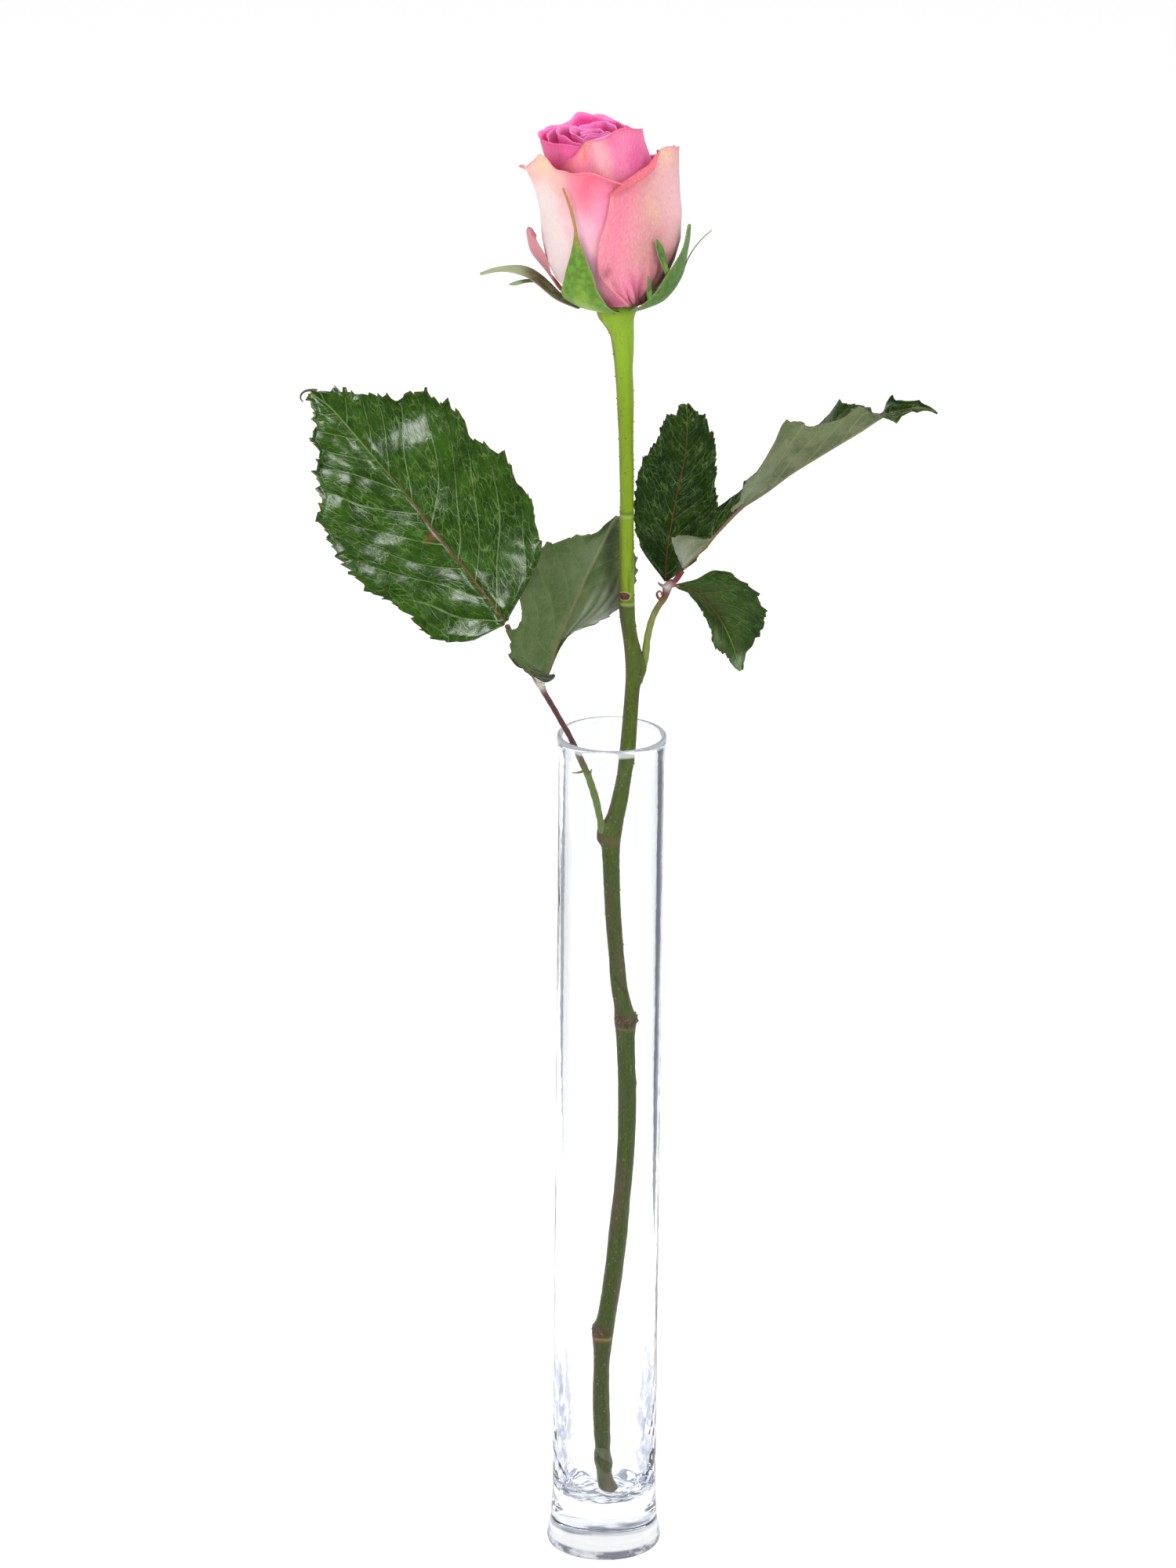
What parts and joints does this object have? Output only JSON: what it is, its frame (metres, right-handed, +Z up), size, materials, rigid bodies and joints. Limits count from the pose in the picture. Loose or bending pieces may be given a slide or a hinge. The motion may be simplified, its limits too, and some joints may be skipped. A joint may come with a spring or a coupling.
{
  "type": "cut rose in a glass tube vase",
  "caption": "Single cut rose with stem, leaves, sepals and layered petals, standing loose in a slim clear glass tube vase with a thick foot.",
  "frame": {"origin": "centre of the vase's flat underside", "axes": "+Z up along the vase and the stem; the front of the flower faces -Y, +X is to the right of it"},
  "size_m": [0.1766, 0.0467, 0.4302],
  "materials": {
    "vase_glass": "polished",
    "stem_green": "satin",
    "leaf_stalk": "satin",
    "leaf_green": "satin",
    "leaf_underside_green": "matte",
    "petal_outer_cream": "satin",
    "petal_inner_pink": "satin",
    "petal_bud_pink": "satin",
    "sepal_green": "satin"
  },
  "bodies": {
    "root": {"vase": "vase_glass", "stem": "stem_green", "leaf_left_stalk": "leaf_stalk", "leaf_left_terminal_leaflet": "leaf_green", "leaf_left_side_leaflet": "leaf_underside_green", "leaf_right_stalk": "leaf_stalk", "leaf_right_upright_leaflet": "leaf_green", "leaf_right_terminal_leaflet": "leaf_underside_green", "leaf_right_lower_leaflet": "leaf_green", "petal_outer_right": "petal_outer_cream", "petal_outer_left": "petal_outer_cream", "petal_outer_back": "petal_outer_cream", "petal_middle_right": "petal_inner_pink", "petal_middle_left": "petal_inner_pink", "petal_inner_front": "petal_inner_pink", "petal_inner_back": "petal_inner_pink", "petal_inner_left": "petal_inner_pink", "petal_inner_right": "petal_inner_pink", "petal_bud_01": "petal_bud_pink", "petal_bud_02": "petal_bud_pink", "petal_bud_03": "petal_bud_pink", "petal_bud_04": "petal_bud_pink", "petal_bud_05": "petal_bud_pink", "petal_bud_06": "petal_bud_pink", "petal_bud_07": "petal_bud_pink", "petal_bud_08": "petal_bud_pink", "petal_bud_09": "petal_bud_pink", "petal_bud_10": "petal_bud_pink", "guard_petal": "petal_inner_pink", "sepal_front": "sepal_green", "sepal_right": "sepal_green", "sepal_back_right": "sepal_green", "sepal_back_left": "sepal_green", "sepal_left": "sepal_green"}
  },
  "joints": []
}
